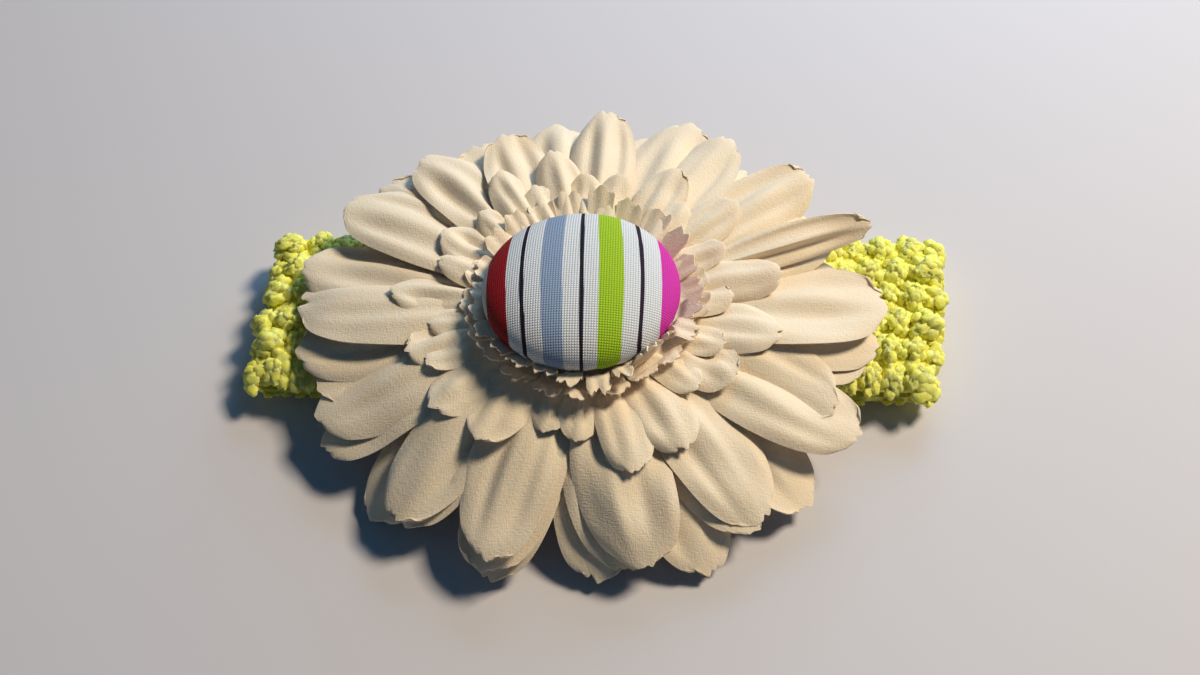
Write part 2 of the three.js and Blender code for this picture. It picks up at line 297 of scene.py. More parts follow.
def thread_height(tree, uv):
    """Loose cloth: uneven threads one way and across it."""
    fine, drawn_out = PETAL_THREADS, 0.3 * PETAL_THREADS
    heights = []
    for factors in ((fine, drawn_out, 1.0), (drawn_out, fine, 1.0)):
        heights.append(noise_value(tree, stretch(tree, uv, factors), 1.0, 2.0, 0.6))
    return math_node(tree, "ADD", *heights)


def cloth_material(name, light, dark):
    """Woven petal cloth: fine threads, soft mottling, and a little light passing through it."""
    material, tree, shader = new_material(name)
    threads = thread_height(tree, flat_place(tree))
    cloud = noise_value(tree, object_place(tree), 90.0, 4.0)
    # the cream is painted darker where the threads dip (painted shade), plus random mottling from the
    # cloud noise
    shade = math_node(tree, "MULTIPLY_ADD", threads, -0.5, 0.6)
    shade = math_node(tree, "ADD", shade, math_node(tree, "MULTIPLY", cloud, 0.5))
    tree.links.new(mix_colours(tree, shade, light, dark), shader.inputs["Base Color"])
    add_bump(tree, shader, threads, 0.6, PETAL_THREAD_DEPTH)
    set_inputs(
        shader,
        {
            "Roughness": 0.8,
            "Sheen Weight": 0.2,
            "Sheen Roughness": 0.5,
            "Specular IOR Level": 0.35,
            "Subsurface Weight": 0.22,
            "Subsurface Radius": (1.0, 0.72, 0.45),
            "Subsurface Scale": 0.0007,
        },
    )
    return material


STRIPES = [
    # where each stripe ends, from the left, and its colour
    (-17.9, (0.70, 0.71, 0.70)),
    (-14.1, (0.33, 0.002, 0.006)),
    (-11.4, (0.72, 0.73, 0.72)),
    (-10.6, (0.008, 0.003, 0.012)),
    (-7.5, (0.72, 0.73, 0.72)),
    (-3.3, (0.27, 0.35, 0.48)),
    (-0.1, (0.72, 0.73, 0.72)),
    (0.75, (0.008, 0.003, 0.012)),
    (3.6, (0.72, 0.73, 0.72)),
    (8.3, (0.36, 0.56, 0.012)),
    (11.2, (0.72, 0.73, 0.72)),
    (12.0, (0.02, 0.005, 0.02)),
    (15.3, (0.72, 0.73, 0.72)),
    (26.0, (0.66, 0.03, 0.38)),
]
STRIPE_SPAN = 26.0
STRIPE_LEAN = 0.03


def striped_cotton():
    """Printed stripes on a plain weave. The stripe map holds millimetres across the stripes."""
    material, tree, shader = new_material("striped_cotton")
    uv = flat_place(tree)
    stripe = add_node(tree, "ShaderNodeAttribute", attribute_name="stripe").outputs["Fac"]
    weave = weave_height(tree, uv, COTTON_THREAD)
    ragged = math_node(tree, "ADD", stripe, math_node(tree, "MULTIPLY", weave, 0.10))
    place = math_node(tree, "MULTIPLY_ADD", ragged, 0.5 / STRIPE_SPAN, 0.5)
    ramp = add_node(tree, "ShaderNodeValToRGB", {0: place})
    ramp.color_ramp.interpolation = "CONSTANT"
    stops = ramp.color_ramp.elements
    start = -STRIPE_SPAN
    for index, (end, colour) in enumerate(STRIPES):
        spot = 0.5 + 0.5 * start / STRIPE_SPAN
        stop = stops[0] if index == 0 else stops.new(max(spot, 1e-4))
        stop.color = (*colour, 1)
        start = end
    while len(stops) > len(STRIPES):
        stops.remove(stops[-1])
    # the printed colour is painted darker in the weave's hollows between the threads: painted shade
    shade = math_node(tree, "MULTIPLY_ADD", weave, 0.42, 0.73)
    print_with_thread_shade = add_node(tree, "ShaderNodeVectorMath", {0: ramp.outputs["Color"]}, operation="SCALE")
    tree.links.new(shade, print_with_thread_shade.inputs["Scale"])
    tree.links.new(print_with_thread_shade.outputs[0], shader.inputs["Base Color"])
    fibre = noise_value(tree, uv, 3.0, 2.0, 0.7)
    height = math_node(tree, "ADD", weave, math_node(tree, "MULTIPLY", fibre, 0.7))
    add_bump(tree, shader, height, 0.9, COTTON_THREAD_DEPTH)
    set_inputs(shader, {"Roughness": 0.7, "Specular IOR Level": 0.22})
    return material


def yarn_material():
    """Shiny satin yarn: fine fibres run along each strand, with pale specks painted into its colour as
    glints.
    """
    material, tree, shader = new_material("crochet_yarn")
    place = object_place(tree)
    fibre = noise_value(tree, stretch(tree, flat_place(tree), (3.4, 0.9, 1.0)), 1.0, 3.0, 0.6)
    speck = noise_value(tree, place, 2200.0, 2.0, 0.7)
    patch = noise_value(tree, place, 260.0, 2.0)
    tint = mix_colours(tree, patch, (1.0, 0.85, 0.09), (0.88, 0.90, 0.16))
    # pale yellow specks mixed into the colour where the fibre and speck noise peak: painted highlights
    painted_glint = math_node(tree, "MULTIPLY_ADD", math_node(tree, "ADD", fibre, speck), 5.0, -5.2)
    painted_glint = add_node(tree, "ShaderNodeClamp", {"Value": painted_glint}).outputs[0]
    colour = mix_colours(tree, painted_glint, tint, (1.0, 1.0, 0.60))
    tree.links.new(colour, shader.inputs["Base Color"])
    rough = math_node(tree, "MULTIPLY_ADD", fibre, 0.3, 0.2)
    tree.links.new(rough, shader.inputs["Roughness"])
    height = math_node(tree, "ADD", fibre, math_node(tree, "MULTIPLY", speck, 0.8))
    add_bump(tree, shader, height, 0.7, YARN_BUMP_DEPTH)
    set_inputs(
        shader,
        {
            "Specular IOR Level": 0.08,
            "Subsurface Weight": 0.5,
            "Subsurface Radius": (1.0, 0.85, 0.25),
            "Subsurface Scale": 0.0015,
        },
    )
    return material


def felt_material():
    """Matted wool: fuzzy, with cloudy patches."""
    material, tree, shader = new_material("felt")
    place = object_place(tree)
    fuzz = noise_value(tree, place, 3200.0, 6.0, 0.8)
    cloud = noise_value(tree, place, 300.0, 3.0)
    tree.links.new(
        mix_colours(tree, cloud, (0.84, 0.79, 0.69), (0.72, 0.66, 0.56)),
        shader.inputs["Base Color"],
    )
    add_bump(tree, shader, fuzz, 0.9, 0.25)
    set_inputs(shader, {"Roughness": 0.97, "Sheen Weight": 0.5, "Specular IOR Level": 0.1})
    return material


def metal_material(name, colour, roughness, grain):
    """Plated sheet metal with fine rolling marks along its length."""
    material, tree, shader = new_material(name)
    place = object_place(tree)
    marks = noise_value(tree, stretch(tree, place, grain), 1.0, 4.0, 0.6)
    smudge = noise_value(tree, place, 220.0, 3.0)
    dull = tuple(0.8 * c for c in colour)
    tree.links.new(mix_colours(tree, smudge, colour, dull), shader.inputs["Base Color"])
    rough = math_node(tree, "MULTIPLY_ADD", marks, 0.22, roughness)
    tree.links.new(rough, shader.inputs["Roughness"])
    add_bump(tree, shader, marks, 0.25, 0.03)
    set_inputs(shader, {"Metallic": 1.0})
    return material


def plastic_material(name, colour, roughness, subsurface):
    """Moulded plastic or set glue, a little cloudy."""
    material, tree, shader = new_material(name)
    cloud = noise_value(tree, object_place(tree), 400.0, 3.0)
    dark = tuple(0.82 * c for c in colour)
    tree.links.new(mix_colours(tree, cloud, colour, dark), shader.inputs["Base Color"])
    add_bump(tree, shader, cloud, 0.3, 0.1)
    set_inputs(
        shader,
        {
            "Roughness": roughness,
            "Subsurface Weight": subsurface,
            "Subsurface Radius": (1.0, 0.9, 0.7),
            "Subsurface Scale": 0.001,
        },
    )
    return material


# ---- petals -------------------------------------------------------------------------------

HUB_RADIUS = 13.0
HUB_RINGS = (2.3, 5.5, 9.5)
CLOTH = 0.28

# Each petal: direction in degrees, how far its tip is from the flower's axis, and the tip's
# height. Some also have a roll in degrees and a share of the full width.
BACK_PETALS = [
    (-167, 55, 11.2), (-138, 55.5, 3.0), (-109.5, 52.5, 3.0), (-86, 49.5, 2.8),
    (-62.5, 53.5, 2.8), (-38, 55, 4.0), (-6.5, 56, 12.2), (13.5, 54.5, 12.8), (31.5, 54, 13.5),
    (51, 53, 14.5), (75.5, 52.5, 15.0), (105.5, 52.5, 15.0), (129, 53, 14.5), (152.5, 54.5, 13.0),
]
MIDDLE_PETALS = [
    (-174.5, 58.5, 11), (-154.5, 56.5, 6.8), (-131, 52.5, 6.0), (-110, 51.5, 4.6),
    (-79.5, 49, 5.2), (-51, 51.5, 6.0), (-23.5, 57.5, 11.6), (-2.5, 58.5, 13.4), (23, 55, 17, 0, 0.75),
    (39, 58, 17), (67.5, 55.5, 18), (99.5, 53.5, 17), (120, 52.5, 17), (142, 58, 16.5),
    (166.5, 61.5, 15),
]
FRONT_PETALS = [
    (175, 59.5, 15.4, 3, 1.2), (-159.5, 56, 9.8, 2, 1.12), (-132, 53, 8.3, -4, 0.95),
    (-110, 50.5, 8.2, 0, 0.98), (-75.5, 50.5, 8.2, 4, 1.05), (-49, 52, 8.2, 3, 1.0),
    (-20, 51.5, 13.5, 10, 1.0), (5, 60, 16, -6, 1.2), (21, 61.5, 20.5, 38, 0.48),
    (37, 58, 19.5, 12, 0.85), (57, 53.5, 20, -8, 0.9), (87, 51.5, 22.5, 0, 0.82),
    (113.5, 49, 21, 6, 0.85), (132.5, 54.5, 20.5, 10, 0.95), (151.5, 58.5, 19.8, 8, 1.08),
]
MEDIUM_PETALS = [
    (174, 39.5, 20.5, 8, 0.85), (-164, 36, 19, 0, 0.9), (-143, 36, 18.2, 4, 1.0),
    (-124.5, 34.5, 18.2, -3, 1.0), (-73.5, 36, 18.4, -6, 0.9), (-56.5, 35.5, 18.6, 0, 1.05),
    (-28, 33, 20, 3, 1.0), (-8, 38.5, 21, -6, 1.0), (12, 39.5, 22, 8, 0.9), (39.5, 39, 24, 10, 0.85),
    (61, 37.5, 25, 0, 0.9), (102.5, 38, 25.5, 4, 0.85), (121.5, 37, 25, 8, 0.85),
    (150, 34.5, 23, 8, 0.85),
]
SMALL_PETALS = [
    (-173, 31, 20.5), (-158.5, 33, 19.5), (-104.5, 28, 19.4), (-91, 29, 19.2), (-40, 28.5, 21),
    (-19, 28.5, 22), (4, 29, 22.6), (26.5, 30.5, 24), (50, 30.5, 25), (78.5, 31, 26),
    (92, 30.5, 26), (113, 30, 25.4), (136, 31, 24.5), (160.5, 31.5, 23),
]

# How the petals of a layer are cut and pressed, in millimetres: half the width at the widest
# place, the share of it left at the tip, where the widest place is, how far the tip's corners
# fall back, how far the middle stands over the edges, the depth of the pressed grooves, how much
# the petal arches along its length, and how far the edges may curl.
LARGE = SimpleNamespace(
    width=8.7, tip=0.42, widest=0.6, corner=2.4, crown=2.5, groove=1.15, arch=1.7, curl=1.3,
    notch=1.0, rows=36, columns=22,
)
BACK = SimpleNamespace(
    width=8.5, tip=0.42, widest=0.6, corner=2.4, crown=1.4, groove=0.8, arch=1.3, curl=0.7,
    notch=1.0, rows=36, columns=22,
)
MEDIUM = SimpleNamespace(
    width=5.8, tip=0.42, widest=0.6, corner=1.5, crown=2.1, groove=0.85, arch=1.2, curl=0.7,
    notch=0.7, rows=26, columns=16,
)
SMALL = SimpleNamespace(
    width=3.8, tip=0.45, widest=0.6, corner=1.0, crown=1.5, groove=0.55, arch=0.7, curl=0.4,
    notch=0.45, rows=20, columns=12,
)


def half_width(style, s, root):
    """Half the width of a petal, s of the way from its root to its tip."""
    rise = np.sin(0.5 * math.pi * np.clip(s / style.widest, 0, 1)) ** 1.1
    past = np.clip((s - style.widest) / (1 - style.widest), 0, 1)
    fall = style.tip + (1 - style.tip) * np.sqrt(1 - past**2.2)
    return np.where(s < style.widest, root + (style.width - root) * rise, style.width * fall)


def pressed(style, s, v, lively, rng):
    """Height of the cloth over a flat petal: crown, pressed grooves and curled edges."""
    bell = np.sin(math.pi * np.clip(s * 0.93 + 0.05, 0, 1)) ** 0.6
    crown = style.crown * lively * rng.uniform(0.75, 1.3)
    height = crown * (0.4 - np.abs(v) ** 2.3) * (0.25 + 0.75 * bell)
    fade = smooth_steps(s / 0.22) * smooth_steps((1.0 - s) / 0.3)
    shift = rng.uniform(-0.12, 0.12)
    for middle in (-0.38, 0.36):
        place = (middle + shift) * (0.85 + 0.3 * s)
        depth = style.groove * lively * rng.uniform(0.35, 1.2)
        height -= depth * fade * np.exp(-(((v - place) / 0.21) ** 2))
    for sign in (-1, 1):
        curl = style.curl * rng.uniform(-0.35, 1.0)
        edge = np.clip((sign * v - 0.45) / 0.55, 0, 1) ** 2
        height += curl * edge * smooth_steps(s / 0.55)
    phase = rng.uniform(0, TAU)
    height += 0.3 * style.crown * v * np.abs(v) * np.sin(5.5 * s + phase) * smooth_steps(s / 0.4)
    for _ in range(3):
        along, across, start = rng.uniform(3, 11), rng.uniform(-6, 6), rng.uniform(0, TAU)
        height += 0.11 * style.crown * np.sin(along * s + across * v + start) * fade
    for _ in range(2):
        across, along, start = rng.uniform(11, 19), rng.uniform(-5, 5), rng.uniform(0, TAU)
        height += 0.06 * style.width / 8 * np.cos(across * v + along * s + start) * fade
    height += style.curl * rng.uniform(-0.9, 0.9) * smooth_steps((s - 0.72) / 0.28) ** 2
    return height


def tip_cut(style, s, v, rng):
    """How far each point is drawn back towards the root: round corners and small nicks."""
    nicks = 0.25 * style.notch * np.cos(rng.uniform(6, 9) * v + rng.uniform(0, TAU))
    for _ in range(rng.choice((2, 3, 3))):
        place, depth = rng.uniform(-0.75, 0.75), style.notch * rng.uniform(0.5, 1.0)
        nicks = nicks + depth * np.clip(1 - np.abs(v - place) / 0.22, 0, 1)
    return style.corner * np.abs(v) ** 2.4 * s**3 + nicks * s**14


def petal_grid(style, petal, hub_z, root, rng):
    """Rows of points along one petal, from the flower's axis, and their flat coordinates."""
    direction, reach, tip_z, roll, broad = petal
    along = np.array([math.cos(direction), math.sin(direction), 0.0])
    side = np.array([-along[1], along[0], 0.0])
    length = reach - HUB_RADIUS
    s = (1 - (1 - np.arange(1, style.rows + 1) / style.rows) ** 1.35)[:, None, None]
    v = np.linspace(-1, 1, style.columns + 1)[None, :, None]
    tip_rise = tip_z - hub_z
    power = 1.7 if tip_rise < 0 else 1.3
    back = max(0.0, math.sin(direction))
    arch = style.arch * (1 + 1.1 * back)

    def rise(t):
        return tip_rise * t**power + arch * np.sin(math.pi * np.clip(t, 0, 1) ** 0.85)

    slope = (rise(s + 0.01) - rise(s - 0.01)) / (0.02 * length)
    scale = 1 / np.sqrt(1 + slope * slope)
    z_axis = np.array([0.0, 0.0, 1.0])
    ahead = (along + slope * z_axis) * scale
    up = (z_axis - slope * along) * scale
    angle = math.radians(roll + rng.uniform(-3, 3)) * smooth_steps(s / 0.6)
    lateral = side * np.cos(angle) + up * np.sin(angle)
    normal = up * np.cos(angle) - side * np.sin(angle)
    bow = 0.03 * length * rng.uniform(-1, 1) * np.sin(math.pi * s)
    width = half_width(style, s, root) * (1 + (broad - 1) * smooth_steps(s / 0.4))
    height = pressed(style, s, v, 1 + 0.5 * back, rng)
    cut = tip_cut(style, s, v, rng)
    out = HUB_RADIUS + length * s
    place = along * out + z_axis * rise(s) + side * bow
    place = place - ahead * cut + lateral * (v * width) + normal * height
    flat = along * (out - cut) + side * (v * width)
    return place, flat[..., :2]


def hub_rings(rings, angles):
    """Rings of points round the axis, as points, faces and flat coordinates."""
    count = len(angles)
    flat = [(r * math.cos(a), r * math.sin(a)) for r in rings for a in angles]
    faces = []
    for ring in range(len(rings) - 1):
        faces += ring_faces(ring * count, (ring + 1) * count, count)
    return [(x, y, 0.0) for x, y in flat], faces, flat


def add_grid(points, flat, faces, row, grid, coordinates):
    """Joins rows of points to a first row that is already there."""
    for places, pairs in zip(grid.tolist(), coordinates.tolist()):
        following = list(range(len(points), len(points) + len(places)))
        points += places
        flat += pairs
        for k in range(len(row) - 1):
            faces.append([row[k], following[k], following[k + 1], row[k + 1]])
        row = following


def whole_petal(petal):
    """A petal with its direction in radians, and its roll and width share filled in."""
    direction, *rest = petal if len(petal) == 5 else (*petal, 0, 1)
    return math.radians(direction), *rest


def petal_layer(name, level, petals, style, seed):
    """One die-cut layer: a hub with a hole, and petals that share its rim."""
    rng = random.Random(seed)
    petals = sorted(whole_petal(petal) for petal in petals)
    count, columns = len(petals), style.columns
    hub_z = layer_z(level)
    middles = []
    for i, petal in enumerate(petals):
        following = petals[(i + 1) % count][0] + (TAU if i == count - 1 else 0)
        middles.append((petal[0] + following) / 2)
    starts = [middles[i - 1] - (TAU if i == 0 else 0) for i in range(count)]
    angles = []
    for start, end in zip(starts, middles):
        angles += [start + (end - start) * k / columns for k in range(columns)]
    points, faces, flat = hub_rings((*HUB_RINGS, HUB_RADIUS), angles)
    rim = len(HUB_RINGS) * len(angles)
    for i, petal in enumerate(petals):
        root = min(HUB_RADIUS * (middles[i] - starts[i]) / 2 * 0.96, 0.8 * style.width)
        row = [rim + (i * columns + k) % len(angles) for k in range(columns + 1)]
        grid, coordinates = petal_grid(style, petal, hub_z, root, rng)
        add_grid(points, flat, faces, row, grid, coordinates)
    base = np.array([CENTRE.x, CENTRE.y, hub_z])
    return add_object(name, *thicken(np.array(points) + base, faces, np.array(flat), CLOTH))


def petal_area(petals, style):
    """Flat area of a layer in square metres: its hub and its petals."""
    area = math.pi * (HUB_RADIUS**2 - HUB_RINGS[0] ** 2)
    steps = (np.arange(20) + 0.5) / 20
    for petal in petals:
        area += 2 * half_width(style, steps, 2.6).mean() * (petal[1] - HUB_RADIUS)
    return area * MM * MM


# ---- ruffles ------------------------------------------------------------------------------

RUFFLE_HUB = 15.4
RUFFLE_RINGS = (2.3, 6, 10, 13.5)
RUFFLE_ROWS = 22
RUFFLE_COLUMNS = 14


def ruffle(name, level, count, shape, seed):
    """A ring of short toothed lobes that turn up round the button's edge.

    shape(direction) gives a lobe's reach if it lay flat, how steeply it turns up in degrees, how
    far its tip flares out again in radians, how far from the axis it starts to turn, and how far
    past that the flare starts.
    """
    rng = random.Random(seed)
    hub_z = layer_z(level)
    turn = rng.uniform(0, TAU)
    total = count * RUFFLE_COLUMNS
    angles = [turn + TAU * i / total for i in range(total)]
    points, faces, flat = hub_rings((*RUFFLE_RINGS, RUFFLE_HUB), angles)
    rim = len(RUFFLE_RINGS) * total
    s = (np.arange(1, RUFFLE_ROWS + 1) / RUFFLE_ROWS)[:, None]
    v = np.linspace(-1, 1, RUFFLE_COLUMNS + 1)[None, :]
    for lobe in range(count):
        row = [rim + (lobe * RUFFLE_COLUMNS + k) % total for k in range(RUFFLE_COLUMNS + 1)]
        direction = turn + TAU * (lobe + 0.5) / count
        reach, steep, flare, bend, climb = shape(direction)
        reach += rng.uniform(-0.8, 0.8)
        steep = math.radians(steep + rng.uniform(-11, 9))
        edge = reach - 1.5 * np.abs(v) ** 3.5
        for _ in range(4):
            place, depth = rng.uniform(-0.85, 0.85), rng.uniform(0.5, 1.3)
            depth *= 0.5 + 0.5 * smooth_step(0.4 - math.sin(direction))
            edge = edge - depth * np.clip(1 - np.abs(v - place) / 0.2, 0, 1)
        out = RUFFLE_HUB + (edge - RUFFLE_HUB) * s
        slit = 1 - 0.07 * smooth_steps(s / 0.25) - 0.07 * s
        around = direction + v * math.pi / count * slit
        past = np.maximum(out - bend, 0)
        turned = steep * smooth_steps(past / 1.4)
        turned = turned - flare * rng.uniform(0.8, 1.1) * smooth_steps((past - climb) / 1.6)
        step = (edge - RUFFLE_HUB) / RUFFLE_ROWS
        radius = RUFFLE_HUB + np.cumsum(step * np.cos(turned), 0)
        rise = np.cumsum(step * np.sin(turned), 0)
        wave = rng.uniform(-0.5, 0.5) * v + rng.uniform(-0.6, 0.8) * (v * v - 0.3)
        wave = wave + 0.3 * np.sin(6 * v + rng.uniform(0, TAU)) * past / 5
        wave = wave * smooth_steps(past / 3)
        radius = radius + np.maximum(wave * math.sin(steep), -0.4)
        rise = rise + wave * math.cos(steep)
        grid = np.stack([radius * np.cos(around), radius * np.sin(around), rise], 2)
        coordinates = np.stack([out * np.cos(around), out * np.sin(around)], 2)
        add_grid(points, flat, faces, row, grid, coordinates)
    base = np.array([CENTRE.x, CENTRE.y, hub_z])
    return add_object(name, *thicken(np.array(points) + base, faces, np.array(flat), CLOTH))


def outer_shape(direction):
    """The outer ruffle stands up at the front and lies flatter and longer at the back."""
    sine = math.sin(direction)
    front, back = smooth_step((0.1 - sine) / 0.8), max(0, sine) ** 1.5
    reach = 24.6 - 0.4 * front + 3.2 * back
    steep = 20 - 2 * back + 35 * front
    return reach, steep, 0.7 * front, 18.6 - 0.6 * front, 3.0


def inner_shape(direction):
    """The inner ruffle climbs the button's edge at the front, with one tall place front right."""
    sine = math.sin(direction)
    front, back = smooth_step((0.15 - sine) / 0.6), max(0, sine) ** 1.5
    tall = math.exp(-(((direction + 0.8 + math.pi) % TAU - math.pi) / 0.28) ** 2)
    reach = 23.2 + 1.9 * front + 3.8 * back + 1.2 * tall
    steep = 40 + 42 * front - 10 * back
    flare = 1.25 * front * (1 - 0.8 * tall)
    climb = 1.9 + 2.2 * max(0, -sine)
    return reach, steep, flare, 18.2 - 1.5 * front, climb


# ---- covered button -----------------------------------------------------------------------

RIM_HEIGHT = 2.1
DOME_HEIGHT = 7.2
RIM_ROUND = 0.9
TURN_IN = 2.6  # how far the cotton comes back in under the rim
COTTON = 0.35


def button_cover():
    """Cotton stretched over the dome, pleated where it turns in under the rim."""
    around, steps, rim_steps = 144, 40, 8
    profile = []
    for i in range(steps + 1):
        angle = 0.5 * math.pi * i / steps
        r = BUTTON_RADIUS * math.sin(angle)
        profile.append((r, RIM_HEIGHT + DOME_HEIGHT * math.cos(angle) ** 0.9))
    for i in range(1, rim_steps + 1):
        angle = 0.5 * math.pi * i / rim_steps
        r = BUTTON_RADIUS - RIM_ROUND * (1 - math.cos(angle))
        profile.append((r, RIM_HEIGHT - (RIM_HEIGHT - 0.02) * math.sin(angle)))
    profile.append((BUTTON_RADIUS - TURN_IN + 0.3, 0.02))
    profile.append((BUTTON_RADIUS - TURN_IN, 0.4))
    profile.append((BUTTON_RADIUS - TURN_IN, 1.9))
    walked = [0.0]
    for (r0, z0), (r1, z1) in zip(profile, profile[1:]):
        walked.append(walked[-1] + math.hypot(r1 - r0, z1 - z0))
    points, flat, stripe = [(0.0, 0.0, profile[0][1])], [(0, 0)], [0.0]
    rim_walk = walked[steps]
    for ring in range(1, len(profile)):
        r, z = profile[ring]
        past = max(0.0, walked[ring] - rim_walk)
        spread = r if ring <= steps else BUTTON_RADIUS + past
        pleat = 0.16 * smooth_step(past / 1.2) if ring < len(profile) - 3 else 0.0
        for i in range(around):
            angle = TAU * i / around
            c, s = math.cos(angle), math.sin(angle)
            radius = r - pleat * (0.5 + 0.5 * math.sin(36 * angle + 2 * math.sin(3 * angle)))
            points.append((radius * c, radius * s, z))
            flat.append((walked[ring] * c, walked[ring] * s))
            bow = 1 + 0.13 * (s * spread / BUTTON_RADIUS) ** 2
            stripe.append(spread * (c * bow + s * STRIPE_LEAN))
    faces = disc_faces(len(profile) - 1, around)
    solid, closed, uvs = thicken(np.array(points), faces, np.array(flat), COTTON)
    turn = np.array(Matrix.Rotation(-BUTTON_TILT, 3, "X"))
    solid = solid @ turn.T + (BUTTON_X, CENTRE.y, BUTTON_FOOT_Z)
    cover = add_object("striped_button_cover", solid, closed, uvs)
    values = cover.data.attributes.new("stripe", "FLOAT", "POINT")
    values.data.foreach_set("value", np.array(stripe + stripe, np.float32))
    return cover


# ---- headband -----------------------------------------------------------------------------

GROUND_DEPTH = 2.2  # from the outside of the yarn in to the middle of the ground cloth
GROUND_THICKNESS = 1.1
BAND_LENGTH, BAND_WIDTH, BAND_HEIGHT = (round(size, 3) for size in BAND_HIGH - BAND_LOW)
BAND_MIDDLE_Z = (BAND_LOW.z + BAND_HIGH.z) / 2
BAND_MID_GAP = BAND_HEIGHT / 2 - GROUND_DEPTH  # from the middle height to each layer's cloth
BAND_STRAIGHT = BAND_LENGTH / 2 - GROUND_DEPTH - BAND_MID_GAP  # half a layer's straight run
FOLD_LENGTH = math.pi * BAND_MID_GAP
LOOP_LENGTH = 4 * BAND_STRAIGHT + 2 * FOLD_LENGTH
PINCH_START = 48
STITCH = 2.7
STITCH_ROW = 3.05

CELL = 5.4  # from one cluster of knots to the next in its row
CELL_ROWS = 6
ROW_PITCH = 6.5
KNOT_SIZES = (1.0, 1.75)
KNOT_TURN = 2.4  # radians round the cluster from one knot to the next
CLUSTER_LONG = 2.5  # half its length along the band, to the middles of its knots
CLUSTER_WIDE = 3.0
FINE_KNOT = (14, 7)  # points round a knot, and rings
COARSE_KNOT = (10, 5)


def band_point(u, v, h):
    """A place on the headband: u along the loop, v across it, h out from its cloth's middle."""
    place = straight_band_point(u, v, h)
    # past the clip's reach the two layers close up along both edges
    share = 0.36 if v < 0 else 0.14
    share *= smooth_step((abs(place.x) - PINCH_START) / 10)
    pinch = share * smooth_step((abs(v) - 10) / 9)
    place.z += pinch * (BAND_MIDDLE_Z - place.z)
    # the fold at the right end runs a little aslant, short at the front
    place.x -= 4.2 * smooth_step((place.x - 40) / 30) * smooth_step((8 - v) / 28)
    return place


def straight_band_point(u, v, h):
    """The same on a plain loop: the top, the right fold, the underside and the left fold."""
    u %= LOOP_LENGTH
    r = BAND_MID_GAP + h
    # the front edges of the two layers sag towards each other
    closing = 1.5 * smooth_step((-v - 16) / 4)
    if u < 2 * BAND_STRAIGHT:
        return Vector((u - BAND_STRAIGHT, v, BAND_MIDDLE_Z + r - closing))
    u -= 2 * BAND_STRAIGHT
    if u < FOLD_LENGTH:
        angle = math.pi / 2 - u / BAND_MID_GAP
        z = (r - closing) * math.sin(angle)
        return Vector((BAND_STRAIGHT + r * math.cos(angle), v, BAND_MIDDLE_Z + z))
    u -= FOLD_LENGTH
    if u < 2 * BAND_STRAIGHT:
        return Vector((BAND_STRAIGHT - u, v, BAND_MIDDLE_Z - r + closing))
    u -= 2 * BAND_STRAIGHT
    angle = -math.pi / 2 - u / BAND_MID_GAP
    z = (r - closing) * math.sin(angle)
    return Vector((-BAND_STRAIGHT + r * math.cos(angle), v, BAND_MIDDLE_Z + z))


def band_base():
    """The ribbed ground of the crochet, one closed loop of cloth, drawn in at the seam."""
    along, across = 720, 48
    half = BAND_WIDTH / 2 - 0.8
    seam = LOOP_LENGTH - BAND_STRAIGHT - FOLD_LENGTH
    points, flat, faces = [], [], []
    for i in range(along):
        u = LOOP_LENGTH * i / along
        drawn_in = 0.75 * math.exp(-(((u - seam) / 2.2) ** 2))
        for k in range(across + 1):
            v = half * (2 * k / across - 1)
            slant = 0.4 * abs(v % STITCH_ROW - 1.5)
            ripple = 0.28 * math.sin(TAU * (u + slant) / STITCH) * math.sin(TAU * v / STITCH_ROW)
            points.append(band_point(u, v, GROUND_THICKNESS / 2 + ripple - drawn_in))
            flat.append((u, v))
    columns = across + 1
    for i in range(along):
        j = (i + 1) % along
        for k in range(across):
            a, b = i * columns + k, j * columns + k
            faces.append([a, b, b + 1, a + 1])
    points = np.array([tuple(p) for p in points])
    return add_object("crochet_ground", *thicken(points, faces, np.array(flat), GROUND_THICKNESS))


def add_part(verts, faces, flat, part):
    """Adds one closed part's points, faces and flat coordinates to a piece's lists."""
    made, quads, uvs = part
    start = len(verts)
    verts += made
    flat += uvs
    faces += [[start + i for i in quad] for quad in quads]


def knot(u0, v0, h0, size, around, rings, rng):
    """A closed knot of yarn round a place on the band, drawn into twisted ridges."""
    seed = Vector([rng.uniform(0, 99) for _ in range(3)])
    turn = rng.uniform(0, TAU)
    twist = rng.uniform(-4, 4)
    lean = Matrix.Rotation(rng.uniform(-1.3, 1.3), 3, "X") @ Matrix.Rotation(turn, 3, "Z")
    verts, flat, faces = [], [], []
    for ring in range(rings + 1):
        lift = math.pi * (ring / rings - 0.5)
        girth = math.cos(lift)
        for k in range(around):
            angle = TAU * k / around
            way = Vector((math.cos(angle) * girth, math.sin(angle) * girth, math.sin(lift)))
            strand = 0.08 * math.cos(4 * angle + twist * lift) * girth
            lump = 0.42 * noise.noise(way * 1.9 + seed) + 0.2 * noise.noise(way * 4.5 + seed)
            r = size * (1 + strand + lump)
            place = lean @ (way * r)
            verts.append(band_point(u0 + place.x, v0 + place.y, max(h0 + place.z, 0.1)))
            flat.append((size * abs(2 * k / around - 1) * 3, size * lift))
    for ring in range(rings):
        for k in range(around):
            j = (k + 1) % around
            a, b = ring * around, (ring + 1) * around
            faces.append([a + k, a + j, b + j, b + k])
    faces.append([rings * around + k for k in range(around)])
    faces.append([k for k in reversed(range(around))])
    return verts, faces, flat


